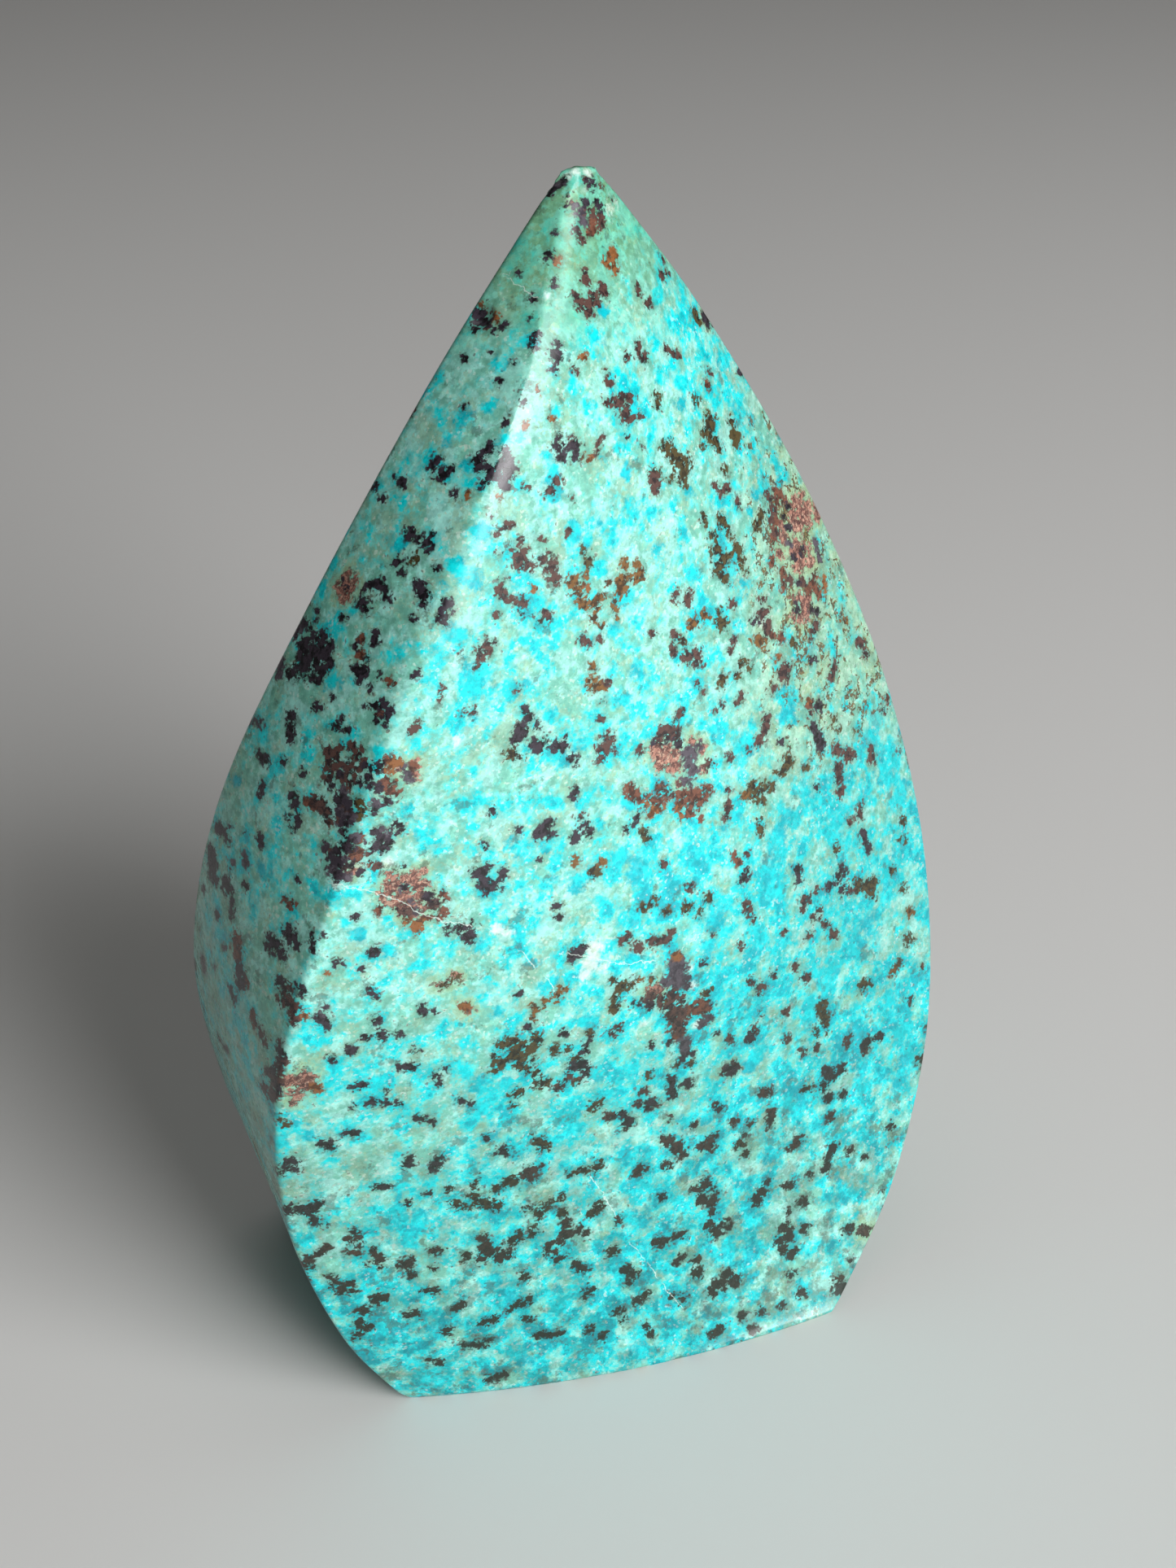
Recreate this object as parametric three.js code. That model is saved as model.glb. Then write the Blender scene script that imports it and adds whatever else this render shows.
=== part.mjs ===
// A polished stone carved as a flame: four ridges rise from a flat base, turn a little and meet in
// a worn tip. Millimetres, +Z up. The origin is on the base plane under the middle of the stone, and
// the broad front face looks towards -Y.
import * as THREE from "three";
import { mergeVertices } from "three/addons/utils/BufferGeometryUtils.js";

// Driving dimensions.
const HEIGHT = 100;
const TIP_DOME = 0.6; // how far the worn tip rises above the last section
const BASE_BEVEL = 0.5; // the ground edge all round the base

// The heights of the sections that set the shape, from the base to the foot of the tip.
const SECTION_HEIGHTS = [0, 10, 24, 40, 56, 72, 87, 96, HEIGHT - TIP_DOME];

// Each ridge is where two faces would meet if they were sharp, as x, y at each section height.
const FRONT_RIDGE = [
  [-19.4, -15.6],
  [-24.4, -16.4],
  [-27.9, -16.6],
  [-27.2, -18.2],
  [-21.5, -16.9],
  [-14.6, -15.3],
  [-6.2, -10.4],
  [-1.8, -3.5],
  [-0.2, -0.9],
];
const RIGHT_RIDGE = [
  [19.9, -15.5],
  [27.5, -9.6],
  [31.5, -4.5],
  [31.3, 0.3],
  [27.5, 4.2],
  [20.5, 5.9],
  [11.4, 4.8],
  [4.7, 1.8],
  [1.9, 0.4],
];
const BACK_RIDGE = [
  [19.5, 15.0],
  [25.0, 16.2],
  [28.2, 16.8],
  [27.0, 17.8],
  [21.9, 17.0],
  [15.1, 15.1],
  [6.4, 9.8],
  [1.9, 3.4],
  [0.3, 1.0],
];
const LEFT_RIDGE = [
  [-20.2, 14.8],
  [-28.0, 9.0],
  [-31.2, 5.0],
  [-32.0, -0.1],
  [-28.9, -4.1],
  [-21.2, -5.7],
  [-11.7, -4.5],
  [-4.4, -1.5],
  [-1.4, -0.2],
];

// How far a face swells past the straight line between its ridges, as a share of that line.
const BROAD_SWELL = 0.08;
const BROAD_SWELL_AT_BASE = 0.05;
const NARROW_SWELL = 0.05;
const NARROW_SWELL_AT_BASE = -0.03; // the foot of the narrow faces is ground slightly hollow
const SWELL_GROWS = [6, 48]; // the heights between which the faces gain their full swell

// How far from a ridge its rounding starts. The front and back ridges are crisp low down. Higher up
// they are rolled over onto their broad face, and their middle is worn on the narrow face too.
const CRISP_EDGE = 0.5;
const ROLLED_EDGE = 2.2;
const WORN_EDGE = 1.4;
const WEAR_STARTS = [57, 71]; // the heights between which the rolled and worn edges set in
const WEAR_FADES = [74, 84]; // and between which the wear on the narrow face fades out
const ROLL_STARTS = [77, 86]; // the heights between which the roll gets a sharp line on the narrow face
const ROLL_SHARE = 0.42; // how far along the rolled edge its turn is moved by then
const LARGEST_EDGE_SHARE = 0.16; // of a face's width, near the tip

// Facets: rows between two section heights and over the tip, and columns across each face and each
// rounded ridge.
const ROWS_PER_SECTION = 8;
const TIP_ROWS = 2;
const BROAD_COLUMNS = 14;
const NARROW_COLUMNS = 7;
const RIDGE_COLUMNS = 4;

const { lerp, smoothstep } = THREE.MathUtils;

// A ridge as one smooth curve. Its share t runs from 0 at the base to 1 at the foot of the tip.
function ridgeCurve(points) {
  const places = points.map(([x, y], i) => new THREE.Vector3(x, y, SECTION_HEIGHTS[i]));
  return new THREE.CatmullRomCurve3(places, false, "catmullrom", 0.5);
}

// Anticlockwise from above. A broad face follows the front and back ridges, which are the worn ones,
// and a narrow face the other two.
const RIDGES = [
  { curve: ridgeCurve(FRONT_RIDGE), worn: true, broadFaceNext: true },
  { curve: ridgeCurve(RIGHT_RIDGE), worn: false, broadFaceNext: false },
  { curve: ridgeCurve(BACK_RIDGE), worn: true, broadFaceNext: true },
  { curve: ridgeCurve(LEFT_RIDGE), worn: false, broadFaceNext: false },
];

// The arc of one face at one height, from its first ridge to its second.
function faceArc(start, end, isBroad) {
  const grown = smoothstep(start.z, ...SWELL_GROWS);
  const swell = isBroad
    ? lerp(BROAD_SWELL_AT_BASE, BROAD_SWELL, grown)
    : lerp(NARROW_SWELL_AT_BASE, NARROW_SWELL, grown);
  const across = new THREE.Vector3().subVectors(end, start);
  const outward = new THREE.Vector3(across.y, -across.x, 0);
  const control = new THREE.Vector3().lerpVectors(start, end, 0.5);
  control.addScaledVector(outward, 2 * swell);
  return new THREE.QuadraticBezierCurve3(start, control, end);
}

// The distance from the ridge at which its rounding starts, on its broad or its narrow face.
function edgeWidth(ridge, height, onBroadFace) {
  if (!ridge.worn) {
    return CRISP_EDGE;
  }
  const wear = smoothstep(height, ...WEAR_STARTS);
  if (onBroadFace) {
    return lerp(CRISP_EDGE, ROLLED_EDGE, wear);
  }
  return lerp(CRISP_EDGE, WORN_EDGE, wear * (1 - smoothstep(height, ...WEAR_FADES)));
}

// One level of the stone as a closed ring of points, each ridge's rounding followed by the face after
// it. A face has the number of the ridge it starts from.
function ring(t) {
  const corners = RIDGES.map((ridge) => ridge.curve.getPoint(t));
  const arcs = RIDGES.map((ridge, i) => {
    return faceArc(corners[i], corners[(i + 1) % RIDGES.length], ridge.broadFaceNext);
  });
  const edgeShare = (ridge, onFace) => {
    const arc = arcs[onFace];
    const width = edgeWidth(RIDGES[ridge], arc.v0.z, RIDGES[onFace].broadFaceNext);
    return Math.min(width / arc.v0.distanceTo(arc.v2), LARGEST_EDGE_SHARE);
  };
  const points = [];
  RIDGES.forEach((ridge, i) => {
    const before = (i + RIDGES.length - 1) % RIDGES.length;
    const next = (i + 1) % RIDGES.length;
    const arc = arcs[i];
    const first = edgeShare(i, i);
    const last = 1 - edgeShare(next, i);
    const edgeStart = arcs[before].getPoint(1 - edgeShare(i, before));
    const edgeEnd = arc.getPoint(first);
    const roll = ridge.worn ? ROLL_SHARE * smoothstep(corners[i].z, ...ROLL_STARTS) : 0;
    const turn = corners[i].clone().lerp(edgeEnd, roll);
    const edge = new THREE.QuadraticBezierCurve3(edgeStart, turn, edgeEnd);
    for (let k = 0; k < RIDGE_COLUMNS; k += 1) {
      points.push(edge.getPoint(k / RIDGE_COLUMNS));
    }
    const faceColumns = ridge.broadFaceNext ? BROAD_COLUMNS : NARROW_COLUMNS;
    for (let k = 0; k < faceColumns; k += 1) {
      points.push(arc.getPoint(lerp(first, last, k / faceColumns)));
    }
  });
  return points;
}

// The rings from the base to the tip: the ground bevel, the body and the small worn dome.
function allRings() {
  const bevelTop = ring(0);
  const baseEdge = bevelTop.map((p) => p.clone().setLength(p.length() - BASE_BEVEL));
  bevelTop.forEach((p) => p.setZ(BASE_BEVEL));
  const rings = [baseEdge, bevelTop];
  const bodyRows = (SECTION_HEIGHTS.length - 1) * ROWS_PER_SECTION;
  for (let row = 1; row <= bodyRows; row += 1) {
    rings.push(ring(row / bodyRows));
  }
  const tipFoot = rings[rings.length - 1];
  const tipCentre = middle(tipFoot);
  for (let row = 1; row <= TIP_ROWS; row += 1) {
    const angle = (row / (TIP_ROWS + 1)) * (Math.PI / 2);
    const height = tipCentre.z + TIP_DOME * Math.sin(angle);
    rings.push(tipFoot.map((p) => tipCentre.clone().lerp(p, Math.cos(angle)).setZ(height)));
  }
  return rings;
}

function middle(points) {
  const sum = new THREE.Vector3();
  points.forEach((p) => sum.add(p));
  return sum.divideScalar(points.length);
}

// The stone starts as a cylinder of one ring per row. Each of its corners then moves to its place
// on the rings.
function flameGeometry() {
  const rings = allRings();
  const rows = rings.length - 1;
  const columns = rings[0].length;
  const geometry = new THREE.CylinderGeometry(1, 1, rows, columns, rows);
  const corners = geometry.getAttribute("position");
  for (let i = 0; i < corners.count; i += 1) {
    const x = corners.getX(i);
    const z = corners.getZ(i);
    const row = Math.round(corners.getY(i) + rows / 2);
    const turn = Math.atan2(x, z) / (2 * Math.PI);
    const column = Math.round(turn * columns + columns) % columns;
    const isCapCentre = Math.hypot(x, z) < 0.5;
    const place = isCapCentre ? middle(rings[row]) : rings[row][column];
    const height = isCapCentre && row === rows ? HEIGHT : place.z;
    corners.setXYZ(i, place.x, place.y, height);
  }
  geometry.deleteAttribute("normal");
  geometry.deleteAttribute("uv");
  const closed = mergeVertices(geometry);
  closed.computeBoundingBox();
  const centre = closed.boundingBox.getCenter(new THREE.Vector3());
  closed.translate(-centre.x, -centre.y, 0);
  closed.computeVertexNormals();
  return closed;
}

const stone = new THREE.MeshStandardMaterial({ color: 0x6cc8bf, roughness: 0.35, metalness: 0 });

const flameStone = new THREE.Mesh(flameGeometry(), stone);
flameStone.name = "flame_stone";

const flameCarving = new THREE.Group();
flameCarving.add(flameStone);

export default flameCarving;
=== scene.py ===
# A polished chrysocolla flame: one stone, with the spots, patches and healed cracks of its rock.
import math
import random

import bmesh
import bpy
import numpy
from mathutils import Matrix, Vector, noise
from mathutils.bvhtree import BVHTree
from mathutils.kdtree import KDTree


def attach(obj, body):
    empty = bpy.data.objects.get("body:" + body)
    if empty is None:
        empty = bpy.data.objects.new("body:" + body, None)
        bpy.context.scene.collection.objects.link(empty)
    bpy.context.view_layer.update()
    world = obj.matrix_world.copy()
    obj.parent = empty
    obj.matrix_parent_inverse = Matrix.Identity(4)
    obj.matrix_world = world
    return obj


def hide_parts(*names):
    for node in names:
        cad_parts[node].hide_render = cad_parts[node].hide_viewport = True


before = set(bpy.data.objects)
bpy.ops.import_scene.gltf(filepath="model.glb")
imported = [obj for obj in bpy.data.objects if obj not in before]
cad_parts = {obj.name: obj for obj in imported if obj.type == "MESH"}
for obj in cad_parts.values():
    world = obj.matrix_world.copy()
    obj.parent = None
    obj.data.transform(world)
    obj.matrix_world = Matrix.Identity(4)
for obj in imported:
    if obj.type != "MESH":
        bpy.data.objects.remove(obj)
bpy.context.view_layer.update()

# THE CAMERA
# It stands where the photograph was taken from: close in front of the stone, a little to its left and above
# it. The marks in the rock are placed by looking through this camera, so it comes first.

PHOTO_WIDTH = 1445
PHOTO_HEIGHT = 1927
FOCAL_LENGTH = 2500  # in pixels of the photograph
CAMERA_PLACE = Vector((-0.0341, -0.1358, 0.1378))
CAMERA_TURN = math.radians(-14.5)
CAMERA_DIP = math.radians(32)
SENSOR_HEIGHT = 36  # millimetres
CLIP_START = 0.01

lens = bpy.data.cameras.new("camera")
lens.sensor_fit = "VERTICAL"
lens.sensor_height = SENSOR_HEIGHT
lens.lens = SENSOR_HEIGHT * FOCAL_LENGTH / PHOTO_HEIGHT
lens.clip_start = CLIP_START
camera = bpy.data.objects.new("camera", lens)
camera.location = CAMERA_PLACE
camera.rotation_euler = (math.pi / 2 - CAMERA_DIP, 0, CAMERA_TURN)
bpy.context.scene.collection.objects.link(camera)
bpy.context.scene.camera = camera
bpy.context.view_layer.update()
camera_axes = camera.matrix_world.to_3x3()


# THE STONE'S FORM
# One piece of rock, sawn flat below, ground to four turning ridges and polished all over by hand.
# The mesh is the solid made smooth, with the slight unevenness of the polishing, and worn at its tip.

STONE_MIDDLE = Vector((0, 0, 0.05))
MERGE_DISTANCE = 1e-6
JOINED_BEND = math.radians(50)  # the largest bend across which two triangles are joined
JOINED_SHAPE = math.radians(80)  # and how far the corners of the joined face may be from square
SMOOTHING_LEVELS = 3
FIRST_LEVELS = 1  # the mesh is cut from this coarser one, and its points then move to the smooth form
SMOOTH_BEND = 9  # degrees between two faces of the solid, up to which their edge is smoothed away
CRISP_BEND = 24  # and from which it stays crisp
WAVE_SIZE = 0.011
WAVE_DEPTH = 0.00008
TIP_WEAR_HEIGHT = 0.0975
TIP_WEAR_RISE = 0.001
TIP_WEAR_DEPTH = 0.00022
TIP_WEAR_SIZE = 0.0011

form = bmesh.new()
form.from_mesh(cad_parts["flame_stone"].data)
bmesh.ops.remove_doubles(form, verts=form.verts, dist=MERGE_DISTANCE)
bmesh.ops.join_triangles(
    form,
    faces=form.faces,
    angle_face_threshold=JOINED_BEND,
    angle_shape_threshold=JOINED_SHAPE,
)
crease = form.edges.layers.float.new("crease_edge")
for edge in form.edges:
    bend = math.degrees(edge.calc_face_angle(0))
    edge[crease] = min(max((bend - SMOOTH_BEND) / (CRISP_BEND - SMOOTH_BEND), 0), 1)
coarse = bpy.data.meshes.new("coarse_stone")
form.to_mesh(coarse)
form.free()
stone = bpy.data.objects.new("polished_stone", coarse)
bpy.context.scene.collection.objects.link(stone)
smoothing = stone.modifiers.new("smoothing", "SUBSURF")


def smoothed(levels):
    """The smoothed stone as a bmesh."""
    smoothing.levels = levels
    smoothing.render_levels = levels
    bpy.context.view_layer.update()
    shape = bmesh.new()
    shape.from_mesh(stone.evaluated_get(bpy.context.evaluated_depsgraph_get()).to_mesh())
    return shape


smoothest = smoothed(SMOOTHING_LEVELS)
smooth_form = BVHTree.FromBMesh(smoothest)
smoothest.free()
surface = smoothed(FIRST_LEVELS)
stone.modifiers.remove(smoothing)


def seen_point(x, y):
    """Where the line of sight through a pixel of the photograph meets the stone, or passes nearest to it."""
    across = (x - PHOTO_WIDTH / 2) / FOCAL_LENGTH
    up = (PHOTO_HEIGHT / 2 - y) / FOCAL_LENGTH
    sight = (camera_axes @ Vector((across, up, -1))).normalized()
    met = smooth_form.ray_cast(CAMERA_PLACE, sight)[0]
    if met is None:
        reach = (STONE_MIDDLE - CAMERA_PLACE).dot(sight)
        met = smooth_form.find_nearest(CAMERA_PLACE + sight * reach)[0]
    return met


# Small chips knocked out of the ridges: pixel, width and depth. Their hollows are a little rough.
CHIP_FULLNESS = 0.8
CHIP_ROUGHNESS = 0.4
CHIP_ROUGHNESS_SIZE = 0.0006
CHIPS = [
    (586, 368, 0.0013, 0.00055),
    (592, 388, 0.0010, 0.00045),
    (906, 464, 0.0008, 0.00025),
    (836, 1664, 0.0010, 0.00035),
    (548, 1703, 0.0009, 0.00025),
]
chips = [(seen_point(x, y), width, depth) for x, y, width, depth in CHIPS]


# THE MARKS IN THE ROCK
# Spots of manganese and iron minerals, deep blue-green patches, milky quartz and healed cracks. Those in the
# photograph are listed as it shows them: the pixel of a spot and its radius, or a streak's two ends and its
# radius. Each becomes a small body in the rock, and the polished surface cuts through it.

BLACK_SPOTS = [
    (674, 310, 5), (677, 317, 3), (638, 335, 2), (680, 345, 2), (654, 367, 3), (651, 391, 3),
    (658, 413, 657, 421, 5), (606, 434, 3), (632, 446, 3), (614, 468, 4), (643, 492, 3), (621, 519, 4),
    (604, 550, 7), (570, 500, 2), (586, 564, 6), (588, 573, 5), (602, 581, 8), (591, 595, 5),
    (620, 556, 611, 584, 5), (531, 575, 6), (537, 566, 5), (545, 583, 6), (553, 574, 5), (485, 585, 3),
    (493, 593, 5), (461, 597, 4), (469, 612, 4), (561, 606, 4), (503, 655, 8), (514, 660, 5), (525, 668, 7),
    (532, 657, 4), (488, 690, 7), (493, 701, 4), (537, 700, 5), (515, 720, 7), (521, 730, 8), (520, 742, 6),
    (550, 743, 7), (544, 761, 7), (447, 738, 9), (450, 750, 5), (455, 720, 469, 715, 5),
    (473, 723, 476, 736, 4), (507, 760, 4), (421, 760, 4), (389, 750, 3), (462, 779, 460, 792, 4),
    (505, 830, 515, 826, 3), (465, 829, 3), (437, 824, 447, 826, 6), (442, 835, 5), (454, 842, 455, 851, 2),
    (460, 866, 472, 864, 4), (479, 874, 474, 888, 4), (463, 887, 5), (449, 868, 3), (413, 893, 6),
    (419, 884, 3), (427, 896, 4), (358, 880, 6), (357, 892, 358, 908, 5), (318, 927, 328, 936, 4),
    (321, 967, 321, 977, 4), (372, 951, 4), (348, 935, 3), (409, 857, 2), (394, 870, 3), (360, 978, 5),
    (362, 989, 5), (355, 1004, 4), (364, 1011, 5), (368, 1001, 3), (268, 1015, 275, 1024, 5),
    (281, 1015, 3), (280, 1034, 3), (259, 1045, 262, 1080, 7), (250, 1093, 3), (272, 1090, 3),
    (281, 1068, 2), (284, 1095, 284, 1126, 4), (267, 1125, 5), (364, 1080, 3), (335, 1160, 12),
    (355, 1150, 11), (366, 1161, 5), (346, 1172, 6), (383, 1148, 385, 1170, 3), (398, 1152, 3),
    (685, 424, 4), (683, 436, 7), (681, 454, 4), (687, 550, 7), (690, 561, 5), (688, 539, 3), (709, 547, 7),
    (708, 561, 5), (645, 873, 3), (649, 885, 6), (640, 896, 6), (635, 906, 8), (660, 892, 5), (655, 914, 5),
    (663, 918, 7), (671, 911, 4), (683, 917, 5), (692, 919, 5), (703, 932, 5), (706, 940, 2), (695, 906, 2),
    (588, 1072, 8), (598, 1067, 5), (592, 1085, 7), (600, 1091, 8), (610, 1086, 8), (617, 1073, 6),
    (565, 1141, 7), (581, 1134, 6), (575, 1151, 7), (578, 1160, 3), (660, 1027, 4), (668, 1018, 5),
    (677, 1025, 4), (675, 1010, 3), (637, 1020, 3), (605, 998, 4), (595, 1041, 3), (707, 970, 4),
    (703, 981, 3), (718, 1012, 5), (723, 1022, 5), (709, 1031, 6), (662, 1058, 2), (685, 1114, 4),
    (688, 1127, 5), (703, 1177, 716, 1166, 4), (637, 1222, 3), (651, 1262, 4), (692, 1270, 5),
    (437, 1127, 3), (455, 1173, 465, 1166, 4), (455, 1215, 462, 1226, 2), (463, 1255, 6), (468, 1271, 6),
    (450, 1275, 4), (519, 1236, 520, 1249, 3), (432, 1290, 6), (408, 1301, 4), (492, 1311, 508, 1312, 4),
    (535, 1322, 6), (548, 1315, 5), (540, 1332, 3), (433, 1336, 447, 1333, 3), (475, 1340, 4),
    (455, 1355, 5), (470, 1355, 4), (490, 1357, 4), (434, 1360, 3), (566, 1353, 4), (578, 1356, 4),
    (512, 1374, 530, 1378, 4), (424, 1393, 440, 1394, 3), (403, 1408, 8), (357, 1431, 10), (345, 1440, 5),
    (503, 1423, 500, 1433, 5), (538, 1423, 533, 1436, 5), (618, 1415, 7), (355, 1486, 6), (368, 1485, 7),
    (380, 1492, 4), (390, 1480, 4), (386, 1500, 399, 1506, 3), (460, 1459, 3), (478, 1458, 3),
    (520, 1468, 528, 1466, 3), (715, 1308, 7), (705, 1313, 6), (720, 1318, 6), (722, 1282, 718, 1292, 5),
    (1006, 868, 5), (1000, 893, 5), (1005, 905, 1010, 917, 5), (961, 912, 3), (999, 811, 5), (1003, 968, 4),
    (1061, 1025, 1068, 1045, 4), (917, 1072, 912, 1082, 4), (980, 1068, 983, 1082, 4),
    (1035, 1068, 1030, 1079, 5), (1021, 1090, 5), (1034, 1095, 6), (928, 763, 5), (826, 1327, 826, 1346, 5),
    (845, 1333, 6), (885, 1361, 6), (765, 1368, 6), (772, 1379, 7), (797, 1358, 6), (898, 1316, 7),
    (1020, 1320, 9), (1033, 1315, 7), (1012, 1335, 7), (1018, 1350, 5), (1035, 1345, 5), (813, 1471, 5),
    (941, 1455, 5), (929, 1475, 6), (1023, 1408, 1014, 1438, 4), (922, 1275, 6), (1064, 1281, 7),
    (1080, 1275, 6), (769, 1561, 6), (680, 350, 2), (571, 440, 4), (597, 552, 4), (599, 575, 4),
    (625, 562, 621, 595, 7), (497, 688, 3), (437, 795, 4), (452, 808, 4), (388, 868, 4), (360, 1018, 4),
    (302, 1089, 4), (598, 1098, 4), (668, 1018, 675, 1010, 4), (416, 1184, 6), (445, 1190, 3),
    (490, 1268, 6), (535, 1242, 2), (511, 1293, 4), (395, 1405, 5), (460, 1459, 478, 1458, 3),
    (500, 1478, 3), (380, 1482, 5), (380, 1492, 392, 1480, 4), (597, 1398, 3), (968, 623, 3), (963, 635, 3),
    (969, 648, 4), (998, 747, 5), (1003, 751, 4), (980, 716, 3), (443, 962, 5), (450, 956, 5),
    (453, 967, 4), (407, 966, 4), (463, 945, 8), (468, 938, 4), (463, 970, 5), (415, 982, 6),
    (420, 1020, 5), (459, 997, 4), (476, 985, 5), (485, 1014, 492, 1018, 4), (459, 1022, 3), (468, 1030, 4),
    (470, 1042, 5), (455, 1042, 4), (478, 1034, 4), (425, 1040, 9), (410, 1055, 9), (415, 1076, 8),
    (432, 1063, 4), (440, 1076, 3), (445, 1070, 3), (490, 1068, 3), (497, 1065, 3), (528, 1103, 6),
    (550, 1142, 4), (368, 1212, 373, 1220, 4), (376, 1220, 3), (345, 1292, 6), (400, 1258, 6),
    (394, 1256, 4), (388, 1250, 3), (345, 1207, 5), (787, 1235, 4), (800, 1235, 4), (779, 1234, 3),
    (875, 1235, 3), (800, 1285, 4), (880, 1270, 3), (864, 1184, 3), (818, 912, 4), (833, 914, 5),
    (803, 912, 3), (786, 1000, 778, 1012, 2), (770, 1019, 3), (375, 765, 4), (380, 772, 5), (383, 780, 4),
    (390, 785, 6), (398, 783, 7), (405, 792, 7), (395, 796, 10), (383, 800, 10), (372, 795, 8),
    (368, 808, 7), (375, 816, 9), (388, 812, 8), (400, 806, 7), (405, 816, 5), (395, 823, 9), (385, 831, 6),
    (392, 836, 5), (370, 826, 8), (357, 829, 8), (363, 818, 6), (376, 786, 5), (690, 224, 674, 238, 4),
    (666, 243, 3), (698, 243, 4), (696, 250, 3), (719, 248, 3), (733, 247, 739, 258, 2), (682, 345, 3),
    (589, 386, 8), (597, 393, 7), (584, 396, 5), (617, 400, 5), (607, 404, 4), (583, 403, 3), (683, 284, 2),
    (987, 673, 3), (985, 681, 2), (975, 684, 2), (980, 750, 5), (978, 740, 2), (418, 716, 3), (426, 722, 2),
    (499, 1090, 3), (447, 941, 3), (418, 950, 3), (822, 1282, 3), (850, 1294, 4), (838, 1302, 4),
    (416, 1000, 3), (423, 1008, 4), (427, 988, 4), (418, 1062, 5), (414, 1043, 4),
    (294, 1190, 295, 1212, 6), (277, 1082, 281, 1098, 5), (283, 1215, 288, 1230, 4), (336, 1315, 4),
    (342, 1338, 4), (268, 1275, 278, 1290, 3), (262, 1188, 3), (318, 1030, 322, 1040, 3), (300, 1025, 3),
]
# Grey minerals; those along the lower left ridge are partly black minerals made lighter, a painted sheen of
# the polish on them.
GREY_AND_SHEEN_SPOTS = [
    (845, 924, 7), (853, 926, 5), (846, 938, 8), (852, 946, 8), (842, 960, 6), (847, 965, 4), (859, 917, 4),
    (833, 1178, 8), (845, 1203, 6), (818, 1207, 6), (497, 943, 4), (500, 951, 6), (503, 957, 4),
    (475, 1030, 5), (468, 1020, 4), (450, 1036, 3), (395, 1250, 5), (400, 1238, 4), (368, 772, 5),
    (355, 785, 6), (350, 798, 6), (345, 815, 6), (344, 828, 6), (362, 780, 5), (716, 262, 6), (717, 272, 5),
    (706, 254, 4), (493, 1092, 3), (505, 1108, 4), (512, 1121, 5), (970, 667, 4), (400, 1042, 6),
    (435, 1030, 6), (408, 1068, 8), (427, 1077, 6), (430, 1010, 5), (428, 1000, 8), (462, 1038, 6),
    (462, 988, 6), (1003, 664, 1008, 688, 3), (841, 1283, 8), (843, 1293, 7), (862, 1257, 7),
    (872, 1250, 5), (842, 1212, 7), (420, 990, 8), (418, 1000, 7), (424, 984, 6), (420, 1058, 8),
    (412, 1048, 6), (415, 1010, 6), (833, 1190, 13), (834, 1204, 13), (248, 1178, 250, 1192, 5),
    (275, 1165, 3), (300, 1050, 302, 1062, 4), (285, 1060, 4), (412, 930, 5), (422, 968, 5),
]
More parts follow.
